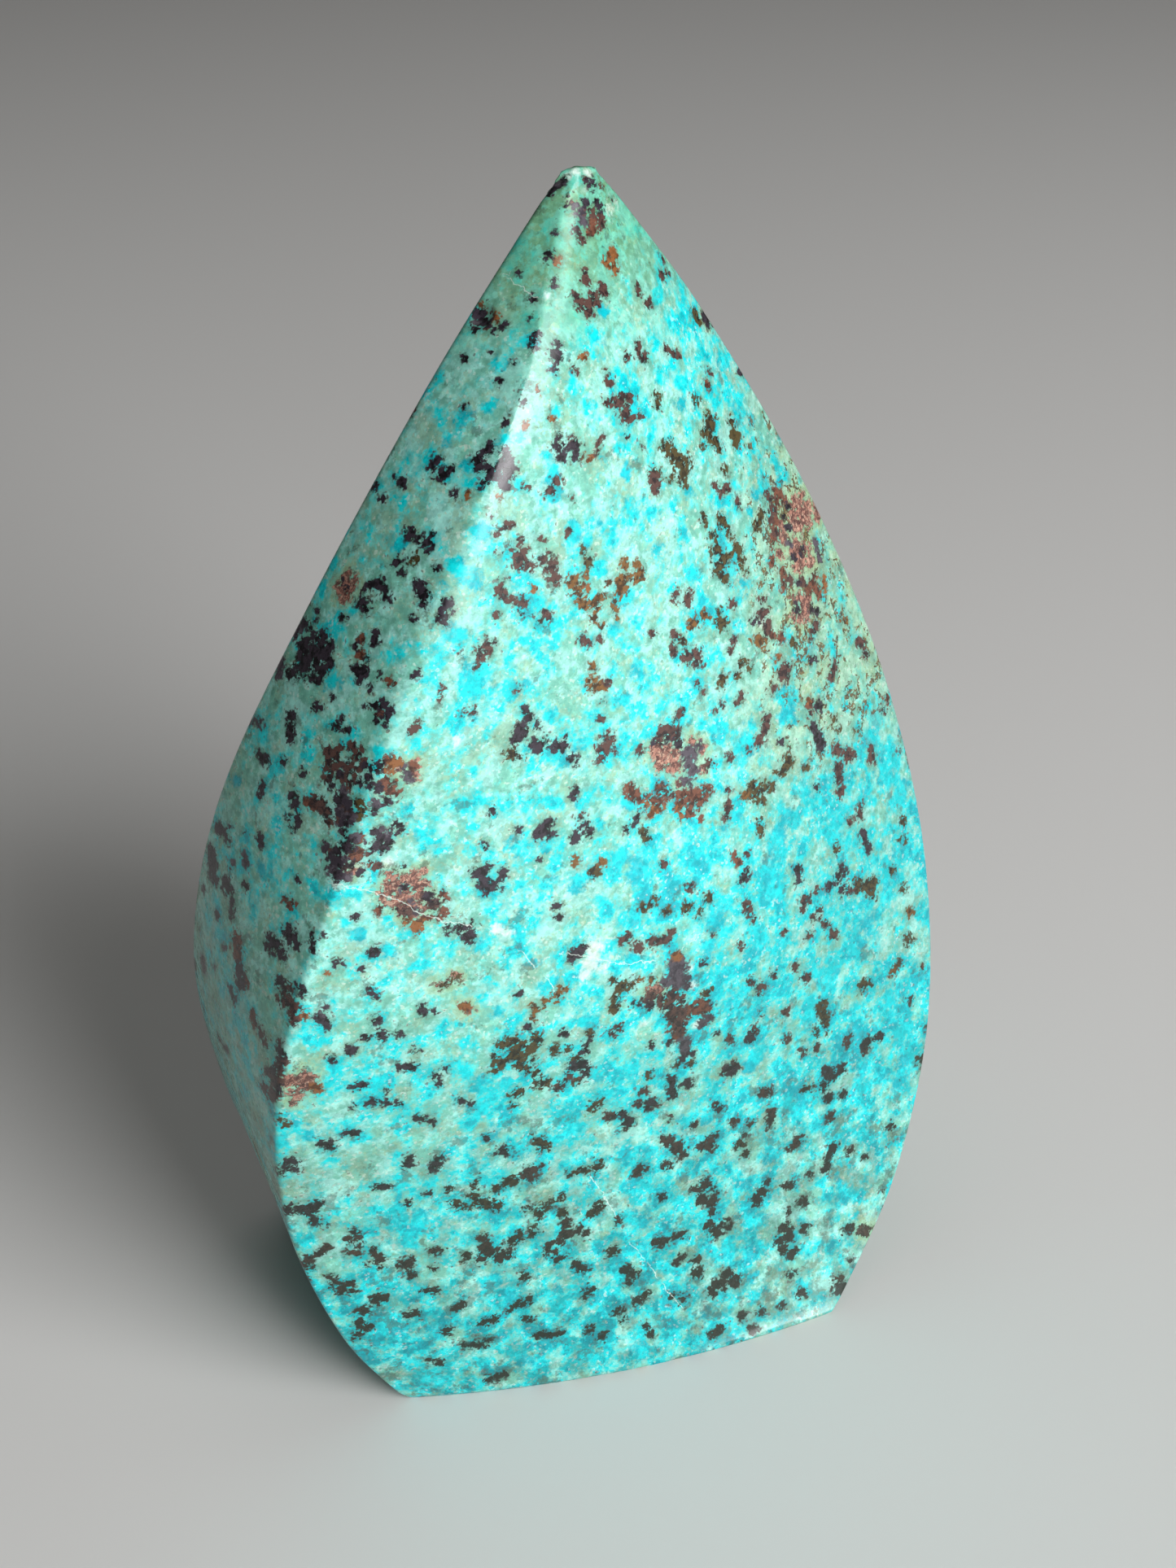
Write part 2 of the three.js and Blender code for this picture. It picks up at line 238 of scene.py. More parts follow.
BROWN_SPOTS = [
    (783, 350, 786, 362, 2), (799, 374, 4), (813, 337, 4), (784, 424, 785, 442, 3), (790, 440, 7),
    (771, 437, 3), (829, 434, 836, 437, 3), (762, 495, 8), (768, 508, 8), (755, 491, 5), (774, 488, 5),
    (765, 486, 4), (777, 513, 4), (787, 511, 3), (748, 461, 749, 470, 4), (771, 537, 3), (736, 545, 2),
    (737, 557, 2), (641, 485, 4), (625, 509, 2), (643, 598, 4), (683, 592, 5), (676, 603, 5), (701, 613, 3),
    (608, 655, 628, 645, 2), (632, 677, 8), (642, 681, 7), (638, 692, 7), (641, 663, 3), (664, 662, 4),
    (668, 688, 6), (677, 698, 7), (681, 712, 7), (698, 653, 3), (620, 712, 4), (614, 725, 6), (618, 735, 4),
    (627, 738, 638, 741, 3), (642, 742, 7), (642, 755, 4), (669, 752, 2), (674, 758, 2), (598, 793, 6),
    (590, 805, 6), (601, 801, 4), (585, 820, 2), (568, 804, 2), (719, 787, 6), (737, 784, 3), (802, 779, 4),
    (636, 846, 3), (543, 844, 2), (542, 861, 2), (569, 878, 582, 875, 3), (505, 897, 513, 889, 3),
    (804, 585, 807, 604, 4), (887, 604, 5), (895, 600, 4), (879, 598, 3), (905, 610, 908, 622, 2),
    (832, 733, 4), (848, 728, 844, 742, 4), (900, 742, 4), (830, 780, 5), (828, 795, 828, 805, 3),
    (845, 808, 7), (857, 814, 6), (903, 785, 898, 800, 2), (963, 828, 8), (968, 819, 5), (949, 848, 5),
    (1027, 812, 1022, 833, 3), (887, 867, 4), (882, 874, 3), (912, 855, 907, 863, 3),
    (858, 842, 863, 850, 2), (838, 875, 828, 893, 3), (896, 932, 4), (747, 905, 6), (742, 919, 7),
    (757, 922, 4), (738, 932, 4), (942, 882, 940, 900, 4), (933, 910, 5), (920, 922, 3),
    (896, 985, 893, 1005, 4), (1030, 922, 6), (1041, 928, 7), (1030, 942, 1030, 956, 5), (1034, 973, 6),
    (1073, 932, 5), (1057, 990, 1056, 1003, 4), (920, 1120, 6), (911, 1163, 4), (875, 1147, 3),
    (990, 1107, 6), (987, 1118, 4), (1000, 1127, 1014, 1136, 4), (1023, 1150, 6), (993, 1150, 4),
    (765, 1155, 772, 1151, 4), (785, 1163, 6), (800, 1158, 822, 1155, 4), (825, 1148, 3), (950, 1198, 4),
    (933, 1213, 6), (990, 1202, 5), (936, 1246, 4), (987, 1292, 5), (1042, 1275, 1042, 1283, 4),
    (436, 1518, 7), (440, 1532, 5), (428, 1523, 4), (403, 1533, 391, 1542, 4), (379, 1549, 6),
    (384, 1558, 4), (458, 1538, 5), (468, 1547, 6), (466, 1557, 5), (500, 1553, 7), (505, 1568, 5),
    (530, 1537, 540, 1538, 4), (532, 1560, 4), (520, 1586, 535, 1587, 3), (410, 1577, 6), (422, 1584, 6),
    (433, 1587, 6), (460, 1598, 470, 1597, 5), (447, 1611, 7), (452, 1630, 5), (437, 1640, 6),
    (500, 1617, 514, 1614, 4), (650, 1440, 9), (653, 1450, 5), (663, 1433, 4), (594, 1522, 6),
    (600, 1538, 8), (613, 1546, 8), (695, 1505, 7), (696, 1518, 7), (711, 1511, 6),
    (674, 1532, 673, 1542, 4), (682, 1549, 693, 1543, 4), (541, 1675, 4), (570, 1653, 594, 1653, 4),
    (550, 1636, 6), (620, 1690, 600, 1696, 4), (707, 1555, 718, 1560, 5), (717, 1592, 725, 1585, 5),
    (823, 1403, 7), (833, 1411, 9), (837, 1420, 6), (872, 1407, 10), (881, 1396, 5), (786, 1436, 6),
    (866, 1458, 7), (863, 1473, 7), (873, 1479, 6), (870, 1505, 6), (879, 1513, 8), (810, 1527, 7),
    (820, 1525, 5), (830, 1521, 839, 1517, 5), (893, 1566, 7), (884, 1579, 9), (876, 1588, 6),
    (759, 1501, 5), (836, 1547, 6), (838, 1597, 5), (825, 1595, 4), (963, 1509, 6), (970, 1519, 7),
    (988, 1510, 5), (974, 1540, 7), (912, 1618, 5), (876, 1639, 5), (792, 1628, 800, 1642, 3),
    (935, 1343, 945, 1342, 4), (903, 1378, 4), (922, 1381, 4), (948, 1365, 946, 1385, 4),
    (972, 1410, 983, 1400, 4), (1093, 1385, 5), (1118, 1228, 5), (683, 1337, 690, 1334, 4), (700, 1323, 5),
    (820, 336, 3), (820, 430, 3), (706, 455, 3), (748, 495, 4), (771, 515, 5), (703, 543, 5), (740, 537, 2),
    (789, 548, 3), (872, 455, 2), (607, 636, 3), (648, 697, 5), (614, 682, 3), (676, 683, 4), (652, 755, 3),
    (610, 754, 3), (669, 752, 674, 758, 3), (607, 790, 3), (747, 838, 3), (740, 860, 3), (738, 885, 3),
    (855, 805, 7), (713, 1005, 5), (815, 1063, 4), (848, 1090, 4), (895, 970, 4), (919, 1050, 3),
    (917, 1111, 4), (926, 1130, 3), (1045, 1095, 4), (1003, 1095, 4), (1007, 1118, 4), (963, 1145, 3),
    (996, 877, 3), (1048, 925, 4), (1070, 920, 4), (1045, 1010, 4), (1084, 873, 4), (922, 1205, 4),
    (933, 1222, 4), (978, 1187, 4), (965, 1245, 4), (1003, 1287, 4), (1065, 1290, 5), (928, 1268, 5),
    (897, 1278, 6), (966, 1275, 4), (890, 1318, 5), (903, 1310, 5), (880, 1357, 5), (915, 1395, 4),
    (863, 1410, 7), (1020, 1372, 6), (1044, 1415, 4), (1063, 1422, 4), (937, 1465, 5), (868, 1449, 5),
    (877, 1463, 5), (850, 1464, 4), (875, 1490, 6), (888, 1505, 6), (896, 1508, 5), (970, 1457, 6),
    (985, 1479, 6), (995, 1443, 4), (958, 1525, 5), (962, 1537, 5), (968, 1490, 4), (972, 1567, 5),
    (985, 1590, 5), (960, 1605, 5), (1042, 1510, 6), (778, 1565, 6), (773, 1576, 5), (783, 1598, 5),
    (903, 1575, 7), (935, 1612, 5), (925, 1635, 5), (885, 1632, 5), (740, 1642, 6), (725, 1635, 5),
    (832, 1552, 5), (783, 1442, 5), (795, 1436, 4), (745, 1373, 755, 1371, 4), (768, 1386, 5),
    (785, 1357, 4), (805, 1357, 5), (815, 1400, 5), (819, 1432, 5), (790, 1342, 5), (852, 1383, 5),
    (824, 1375, 3), (752, 1270, 4), (760, 1263, 4), (597, 1530, 7), (622, 1540, 7), (590, 1548, 5),
    (690, 1526, 5), (718, 1516, 5), (452, 1553, 4), (492, 1557, 5), (408, 1570, 5), (430, 1577, 4),
    (443, 1626, 7), (600, 1648, 4), (560, 1608, 568, 1604, 4), (660, 1640, 690, 1640, 4), (938, 736, 4),
    (940, 750, 5), (936, 756, 5), (928, 762, 5), (943, 770, 5), (942, 778, 4), (1000, 776, 4),
    (998, 785, 3), (1003, 768, 3), (1056, 788, 1064, 803, 4), (404, 943, 6), (405, 955, 6), (430, 919, 5),
    (425, 938, 5), (437, 935, 4), (445, 921, 4), (430, 963, 4), (395, 988, 8), (400, 998, 7),
    (404, 1010, 6), (388, 985, 6), (452, 1050, 4), (461, 1066, 4), (530, 1112, 6), (537, 1110, 4),
    (522, 1100, 4), (500, 1120, 6), (485, 1120, 4), (350, 1218, 9), (352, 1230, 10), (360, 1241, 8),
    (362, 1253, 6), (343, 1315, 7), (333, 1350, 5), (826, 903, 7), (832, 898, 834, 888, 3), (808, 905, 5),
    (812, 912, 5), (833, 906, 5), (876, 936, 868, 942, 3), (787, 919, 784, 924, 3), (709, 285, 4),
    (713, 293, 4), (727, 262, 5), (737, 266, 4), (738, 275, 3), (719, 336, 718, 347, 4),
    (742, 350, 743, 362, 3), (709, 365, 722, 385, 5), (728, 362, 724, 384, 5), (733, 372, 4), (720, 220, 3),
    (739, 228, 2), (751, 246, 2), (820, 898, 5), (813, 900, 5), (825, 1224, 8), (822, 1238, 9),
    (829, 1252, 9), (836, 1262, 8), (838, 1244, 8), (839, 1228, 7), (812, 1228, 7), (802, 1226, 7),
    (792, 1230, 5), (412, 925, 6), (405, 935, 6), (412, 941, 6), (430, 945, 6), (442, 944, 5),
    (436, 956, 6), (426, 990, 6), (412, 1006, 5), (425, 1066, 6), (406, 1048, 5), (970, 712, 6),
    (985, 715, 5), (945, 612, 6), (950, 628, 5), (946, 640, 5), (955, 655, 4), (420, 955, 6), (448, 960, 5),
    (402, 925, 6), (440, 927, 6), (418, 917, 4), (428, 936, 6), (446, 936, 5), (345, 1304, 7),
    (338, 1328, 8), (337, 1342, 7), (330, 1318, 7), (324, 1336, 6), (318, 1262, 325, 1285, 3),
    (344, 1285, 6),
]
OLIVE_SPOTS = [
    (853, 383, 860, 395, 3), (855, 490, 4), (807, 485, 808, 498, 3), (873, 520, 8), (868, 531, 7),
    (880, 540, 884, 551, 4), (899, 519, 904, 543, 4), (908, 534, 3), (818, 548, 8), (826, 559, 7),
    (837, 568, 8), (845, 565, 6), (841, 581, 6), (806, 580, 5), (890, 577, 4), (507, 688, 6),
    (864, 635, 866, 642, 3), (888, 640, 6), (876, 660, 5), (882, 675, 8), (890, 686, 8), (884, 694, 6),
    (897, 655, 4), (908, 675, 6), (912, 690, 6), (888, 711, 5), (717, 676, 4), (722, 690, 5), (665, 765, 4),
    (888, 765, 8), (885, 752, 3), (838, 786, 4), (920, 820, 4), (905, 830, 4), (890, 833, 4), (885, 843, 3),
    (790, 1020, 797, 1029, 4), (970, 933, 962, 944, 5), (958, 951, 4), (990, 942, 3), (925, 966, 5),
    (930, 973, 8), (920, 976, 5), (940, 966, 7), (951, 963, 5), (935, 983, 4), (1025, 885, 4),
    (1030, 897, 3), (1053, 895, 3), (1027, 1042, 5), (934, 1010, 935, 1023, 3), (1055, 1087, 8),
    (1066, 1089, 8), (1073, 1082, 5), (1073, 1100, 4), (1108, 1010, 4), (1110, 1030, 4), (800, 1110, 6),
    (821, 1120, 5), (845, 1115, 6), (860, 1125, 4), (762, 1213, 6), (758, 1228, 5), (776, 1209, 6),
    (755, 1238, 3), (617, 1282, 6), (630, 1281, 7), (641, 1285, 7), (632, 1293, 8), (641, 1302, 6),
    (650, 1288, 6), (660, 1277, 7), (607, 1297, 3), (615, 1307, 7), (608, 1315, 5), (648, 1314, 6),
    (657, 1319, 5), (655, 1303, 4), (660, 1333, 670, 1330, 5), (697, 1290, 4), (681, 1290, 5),
    (630, 1347, 638, 1343, 4), (631, 1358, 3), (660, 1402, 668, 1408, 6), (610, 1462, 625, 1450, 4),
    (632, 1455, 4), (580, 1460, 590, 1448, 3), (577, 1468, 586, 1475, 5), (595, 1478, 612, 1483, 5),
    (558, 1481, 568, 1483, 4), (648, 1485, 5), (660, 1492, 7), (672, 1485, 677, 1480, 4), (690, 1470, 3),
    (573, 1543, 6), (640, 1520, 6), (655, 1515, 6), (644, 1570, 5), (650, 1597, 623, 1611, 4),
    (612, 1618, 590, 1627, 3), (643, 1620, 652, 1622, 4), (735, 1429, 733, 1437, 5),
    (720, 1437, 702, 1442, 4), (737, 1482, 728, 1490, 5), (748, 1543, 757, 1536, 4), (760, 1613, 6),
    (766, 1619, 4), (795, 1590, 4), (1013, 1250, 1015, 1262, 5), (1003, 1268, 4), (910, 1408, 6),
    (915, 1418, 4), (1068, 1207, 4), (987, 1340, 997, 1338, 3), (798, 1320, 4), (737, 1355, 727, 1362, 4),
    (541, 1212, 560, 1203, 3), (865, 545, 3), (873, 545, 3), (826, 590, 4), (838, 591, 5), (895, 712, 5),
    (880, 703, 4), (915, 700, 3), (934, 635, 932, 645, 3), (912, 815, 905, 830, 4), (630, 928, 8),
    (790, 1115, 5), (870, 1105, 5), (1097, 1070, 4), (1110, 1092, 4), (1115, 1155, 6), (1060, 1213, 5),
    (1009, 1237, 1013, 1250, 6), (755, 1205, 4), (730, 1070, 735, 1075, 4), (641, 1310, 6), (625, 1300, 4),
    (727, 1270, 4), (710, 1300, 6), (710, 1328, 5), (550, 1462, 3), (690, 1492, 5), (630, 1525, 6),
    (857, 1565, 5), (528, 1672, 4), (936, 630, 935, 645, 3), (928, 650, 3), (975, 790, 3), (440, 985, 7),
    (445, 993, 5), (438, 1002, 4), (345, 1376, 3), (351, 1381, 3), (868, 1222, 6), (874, 1230, 3),
    (833, 1307, 4), (848, 1308, 4), (897, 1278, 4), (868, 1250, 4),
]
OCHRE_SPOTS = [
    (705, 715, 8), (717, 710, 7), (712, 726, 8), (710, 737, 720, 745, 4), (730, 742, 4), (739, 734, 5),
    (735, 748, 730, 760, 3), (738, 770, 3), (782, 695, 5), (785, 706, 6), (775, 710, 5), (765, 716, 7),
    (762, 729, 5), (768, 693, 4), (757, 742, 755, 757, 3), (748, 715, 2), (727, 820, 5), (730, 842, 8),
    (741, 843, 4), (715, 560, 3), (850, 768, 866, 757, 5), (940, 788, 928, 786, 4), (660, 1240, 6),
    (668, 1233, 4), (655, 1250, 4), (685, 1226, 690, 1217, 5), (572, 1237, 5), (707, 1058, 4),
    (741, 1060, 3), (1097, 1193, 1105, 1185, 4), (1118, 1122, 5), (914, 979, 4), (853, 1548, 5),
    (930, 785, 3), (937, 789, 4), (1038, 762, 5), (820, 1232, 9), (830, 1252, 9), (782, 1205, 4),
    (803, 1203, 4),
]
RUST_SPOTS = [
    (870, 474, 4), (443, 786, 5), (443, 803, 7), (467, 878, 4), (480, 838, 4), (378, 985, 388, 990, 6),
    (505, 945, 6), (351, 1106, 359, 1113, 4), (308, 1250, 3), (994, 865, 6), (903, 1052, 909, 1060, 4),
    (714, 1322, 3), (684, 1538, 4), (1133, 1188, 3), (440, 1540, 4), (425, 1540, 440, 1541, 3),
    (953, 603, 4), (958, 610, 6), (964, 615, 5), (954, 616, 5), (952, 628, 4), (953, 635, 953, 662, 4),
    (950, 675, 4), (963, 703, 5), (966, 711, 6), (963, 720, 4), (1001, 707, 5), (998, 716, 6),
    (1004, 723, 6), (1008, 732, 4), (948, 781, 4), (960, 780, 960, 787, 3), (475, 935, 6), (482, 932, 4),
    (475, 962, 7), (483, 962, 5), (470, 968, 4), (479, 972, 4), (488, 974, 4), (441, 1025, 443, 1033, 4),
    (440, 1048, 7), (432, 1052, 6), (437, 1058, 5), (453, 1060, 5), (543, 1098, 4), (547, 1105, 3),
    (545, 1120, 4), (530, 1127, 5), (537, 1128, 4), (524, 1125, 4), (466, 1118, 5), (833, 1272, 6),
    (838, 1245, 5), (773, 970, 7), (781, 977, 6), (788, 983, 4), (812, 982, 6), (808, 991, 6),
    (834, 979, 6), (845, 980, 7), (855, 978, 8), (862, 985, 5), (868, 972, 7), (850, 990, 6), (848, 998, 6),
    (858, 992, 4), (862, 1006, 3), (403, 797, 3), (402, 812, 3), (729, 268, 5), (728, 278, 5),
    (727, 286, 5), (600, 400, 4), (596, 382, 4), (812, 969, 7), (820, 975, 7), (828, 978, 6), (820, 983, 5),
    (838, 986, 6), (842, 976, 6), (851, 984, 6), (803, 984, 5), (795, 979, 4), (870, 1240, 6),
    (856, 1240, 6), (950, 690, 5), (994, 724, 5), (826, 1246, 11), (833, 1260, 11), (862, 1238, 12),
    (848, 1242, 9), (289, 1154, 292, 1178, 7), (300, 1200, 301, 1212, 4), (310, 1246, 313, 1258, 4),
]
PINK_SPOTS = [
    (990, 617, 6), (982, 648, 8), (975, 622, 6), (980, 667, 7), (990, 672, 6), (985, 686, 10),
    (982, 697, 7), (976, 678, 6), (985, 735, 8), (990, 745, 9), (983, 760, 7), (979, 736, 6), (977, 757, 5),
    (425, 712, 8), (420, 722, 8), (430, 722, 8), (424, 732, 7), (416, 717, 6), (434, 714, 5), (428, 704, 4),
    (490, 945, 6), (510, 942, 6), (507, 951, 6), (433, 1071, 5), (495, 1078, 6), (510, 1075, 6),
    (519, 1072, 5), (485, 1085, 7), (475, 1090, 5), (510, 1088, 8), (520, 1085, 6), (500, 1098, 7),
    (488, 1101, 7), (476, 1100, 5), (515, 1098, 6), (490, 1110, 5), (507, 1109, 7), (515, 1113, 5),
    (372, 1322, 8), (360, 1325, 7), (380, 1328, 7), (352, 1332, 6), (372, 1335, 9), (384, 1334, 5),
    (358, 1342, 6), (368, 1345, 6), (360, 1354, 5), (808, 920, 9), (815, 930, 10), (828, 926, 8),
    (825, 940, 8), (811, 938, 7), (833, 942, 6), (852, 912, 4), (862, 920, 6), (862, 945, 5), (848, 969, 6),
    (836, 963, 5), (702, 246, 3), (980, 618, 10), (986, 628, 10), (975, 634, 9), (989, 638, 10),
    (982, 646, 9), (992, 626, 7), (985, 608, 6), (978, 672, 8), (993, 690, 8), (990, 738, 8), (988, 755, 7),
    (505, 1082, 8), (480, 1094, 8), (500, 1105, 7), (820, 922, 9), (812, 930, 9), (470, 1100, 6),
    (480, 1110, 7), (495, 1118, 8), (508, 1122, 8), (520, 1118, 7), (530, 1108, 6), (478, 1078, 5),
    (520, 1128, 5), (808, 1216, 7), (797, 1222, 6), (538, 1211, 5), (549, 1207, 5), (559, 1201, 5),
    (570, 1236, 6), (575, 1241, 5), (958, 645, 7), (962, 660, 7), (958, 680, 6),
]
ORANGE_SPOTS = [
    (683, 320, 4), (717, 439, 4), (660, 479, 3), (614, 613, 4), (677, 512, 3), (385, 1338, 4),
    (403, 1197, 2), (955, 808, 4), (994, 860, 3), (574, 606, 3), (720, 719, 6), (648, 522, 3),
    (724, 563, 3), (1013, 712, 4), (1012, 722, 4), (473, 946, 5), (487, 937, 5), (480, 950, 5),
    (478, 941, 4), (500, 1132, 5), (508, 1135, 6), (512, 1142, 5), (518, 1131, 3), (371, 1249, 6),
    (390, 1338, 5), (362, 813, 3), (832, 1173, 5), (795, 990, 5), (803, 996, 6), (800, 1003, 4),
    (812, 995, 4), (832, 994, 4), (836, 1003, 3), (745, 323, 751, 309, 4), (753, 309, 756, 330, 4),
    (592, 374, 4), (605, 391, 5), (610, 395, 4), (655, 723, 2), (573, 1240, 4),
]
BLUE_PATCHES = [
    (742, 382, 8), (735, 415, 8), (734, 436, 6), (703, 468, 5), (620, 538, 6), (671, 560, 4), (676, 588, 6),
    (768, 577, 5), (742, 570, 5), (843, 470, 8), (838, 500, 8), (810, 465, 6), (885, 443, 8), (907, 490, 6),
    (906, 508, 6), (925, 515, 7), (545, 540, 10), (563, 515, 10), (648, 420, 8), (610, 445, 10),
    (640, 540, 6), (600, 500, 9), (493, 670, 9), (575, 575, 8), (560, 690, 12), (590, 650, 9),
    (545, 725, 7), (580, 712, 12), (680, 608, 9), (680, 580, 7), (707, 652, 11), (733, 645, 7),
    (722, 668, 6), (770, 580, 7), (773, 622, 9), (808, 678, 9), (800, 628, 8), (765, 735, 9), (757, 775, 6),
    (635, 730, 5), (676, 768, 6), (560, 780, 14), (585, 838, 20), (625, 848, 13), (650, 845, 7),
    (582, 882, 6), (675, 878, 8), (712, 915, 12), (690, 935, 9), (765, 862, 10), (785, 825, 11),
    (804, 828, 8), (938, 592, 9), (929, 605, 6), (963, 583, 954, 597, 4), (951, 562, 955, 575, 4),
    (845, 605, 7), (840, 655, 7), (895, 617, 885, 617, 5), (921, 628, 4), (917, 718, 7), (910, 735, 6),
    (855, 705, 4), (857, 835, 8), (830, 805, 5), (408, 838, 8), (404, 820, 5), (435, 748, 6), (340, 945, 8),
    (320, 905, 9), (288, 960, 7), (325, 1070, 11), (270, 1150, 9), (918, 918, 14), (912, 935, 8),
    (925, 893, 8), (967, 862, 14), (968, 882, 12), (962, 850, 8), (1040, 868, 5), (1066, 870, 5),
    (1070, 903, 10), (1095, 925, 11), (1090, 955, 13), (1107, 972, 12), (1095, 988, 9), (1027, 1008, 13),
    (1028, 1026, 9), (1005, 985, 11), (988, 975, 7), (970, 1003, 9), (958, 1025, 10), (955, 1055, 12),
    (945, 1078, 14), (955, 1098, 11), (975, 1065, 6), (905, 1005, 7), (893, 1016, 5), (885, 1112, 11),
    (880, 1135, 12), (872, 1165, 10), (865, 1182, 6), (935, 1152, 13), (1060, 1138, 14), (1078, 1128, 8),
    (1052, 1162, 10), (1089, 1062, 1090, 1105, 6), (1080, 1040, 5), (1100, 1048, 5),
    (1000, 1195, 1025, 1195, 7), (1012, 1212, 9), (1000, 1232, 996, 1252, 8), (905, 1225, 913, 1250, 8),
    (1095, 1230, 10), (1110, 1240, 11), (1108, 1272, 14), (1115, 1302, 17), (1106, 1332, 12),
    (1060, 1312, 9), (1062, 1334, 10), (935, 1290, 922, 1310, 8), (1027, 1446, 7), (1036, 1470, 12),
    (970, 1360, 9), (945, 1420, 12), (868, 1375, 7), (1078, 1396, 6), (770, 985, 9), (715, 985, 6),
    (635, 1042, 11), (670, 1040, 7), (738, 1014, 5), (682, 1080, 7), (706, 1088, 11), (725, 1074, 7),
    (735, 1112, 6), (785, 1068, 15), (763, 1050, 8), (588, 1165, 8), (705, 1160, 7), (656, 1182, 7),
    (680, 1206, 9), (668, 1214, 6), (778, 1180, 9), (795, 1183, 8), (610, 1242, 8), (722, 1258, 11),
    (735, 1325, 8), (770, 1315, 8), (572, 1318, 11), (596, 1336, 15), (620, 1334, 9), (588, 1365, 12),
    (615, 1383, 6), (600, 1398, 7), (635, 1415, 12), (703, 1370, 9), (707, 1387, 9), (684, 1376, 6),
    (755, 1350, 6), (812, 1335, 5), (795, 1415, 8), (780, 1426, 6), (842, 1378, 9), (785, 1500, 13),
    (790, 1460, 5), (765, 1490, 4), (845, 1440, 10), (578, 1523, 11), (518, 1496, 11), (503, 1528, 10),
    (490, 1458, 488, 1508, 5), (570, 1492, 7), (602, 1578, 16), (530, 1695, 15), (475, 1625, 8),
    (528, 1630, 7), (560, 1625, 4), (690, 1606, 9), (687, 1585, 7), (645, 1670, 12), (716, 1666, 12),
    (785, 1660, 11), (895, 1530, 6), (865, 1615, 8), (925, 1568, 8), (930, 1500, 9), (498, 1000, 8),
    (520, 1030, 8), (465, 1330, 7), (345, 1405, 8), (380, 1395, 9), (440, 1150, 8), (480, 1170, 7),
]
MILKY_PATCHES = [
    (706, 209, 5), (722, 212, 4), (698, 214, 3), (612, 1143, 6), (624, 1148, 5), (730, 1166, 10),
    (726, 1184, 9), (719, 1197, 6), (741, 1191, 5), (671, 362, 4), (937, 764, 4), (560, 910, 4),
    (790, 1258, 4), (412, 1088, 4), (848, 1190, 3), (851, 1212, 4), (477, 1062, 4), (438, 1066, 3),
    (475, 1090, 3), (857, 1258, 3),
]
# Healed cracks, as thin pale lines through these pixels.
PALE_CRACKS = [
    [(404, 1084), (432, 1090), (470, 1100), (508, 1117), (545, 1134), (578, 1137), (600, 1141), (618, 1150)],
    [(640, 1170), (652, 1181), (664, 1196), (672, 1203), (680, 1216)],
    [(700, 1172), (730, 1178), (765, 1184), (800, 1182), (816, 1180)],
    [(836, 1170), (846, 1160), (856, 1154)],
    [(616, 322), (620, 336), (629, 348), (645, 356), (663, 367)],
    [(727, 1446), (738, 1464), (748, 1482), (760, 1502), (772, 1526), (800, 1556), (814, 1580), (838, 1607)],
]

# Lengths along the line of sight count for less, so that a spot on a slanting face keeps its outline.
SIGHT_SQUEEZE = 0.35
SPOT_SOFTNESS = 0.00035
SPOT_SPREAD = 0.0001
FAINTEST = -1.5  # the strength of a mark where it is too far off to matter
LEAST_SQUARE = 1e-12  # stands for the squared length of a round spot, which has none
EDGE_ON = 0.08  # a face that is turned less than this towards the camera counts as unseen


def as_seen(points):
    """Places as across, up and squeezed depth in the camera's view."""
    apart = numpy.asarray(points) - numpy.array(CAMERA_PLACE)
    return apart @ numpy.array(camera_axes) * (1, 1, SIGHT_SQUEEZE)


def bodies(marks):
    """Each listed mark as its two ends in the camera's view and its real radius."""
    found = []
    for *pixels, radius in marks:
        start = seen_point(*pixels[:2])
        end = seen_point(*pixels[-2:])
        depth = (start - CAMERA_PLACE).dot(camera_axes @ Vector((0, 0, -1)))
        found.append((as_seen(start), as_seen(end), radius * depth / FOCAL_LENGTH))
    return found


def strength(points, tree, marks):
    """How deep each point lies in the nearest mark: 0 on its edge, over 0 inside, under 0 outside."""
    deepest = numpy.full(len(points), FAINTEST)
    for start, end, radius in marks:
        along = end - start
        softness = SPOT_SOFTNESS + radius / 2
        reach = radius + SPOT_SPREAD - FAINTEST * softness + numpy.linalg.norm(along) / 2
        near = [found[1] for found in tree.find_range((start + end) / 2, reach)]
        apart = points[near] - start
        share = (apart @ along / max(along @ along, LEAST_SQUARE)).clip(0, 1)
        gap = numpy.linalg.norm(apart - numpy.outer(share, along), axis=1)
        deepest[near] = numpy.maximum(deepest[near], (radius + SPOT_SPREAD - gap) / softness)
    return deepest


def tree_of(points):
    """The points sorted, so that those near a mark are found quickly."""
    tree = KDTree(len(points))
    for index, point in enumerate(points):
        tree.insert(point, index)
    tree.balance()
    return tree


def is_seen(face):
    """Whether the photograph shows this face."""
    return face.normal.dot((CAMERA_PLACE - face.calc_center_median()).normalized()) > EDGE_ON


SEEN_MARKS = {
    "black": BLACK_SPOTS,
    "grey": GREY_AND_SHEEN_SPOTS,
    "brown": BROWN_SPOTS,
    "olive": OLIVE_SPOTS,
    "ochre": OCHRE_SPOTS,
    "rust": RUST_SPOTS,
    "pink": PINK_SPOTS,
    "orange": ORANGE_SPOTS,
    "blue": BLUE_PATCHES,
    "milky": MILKY_PATCHES,
}
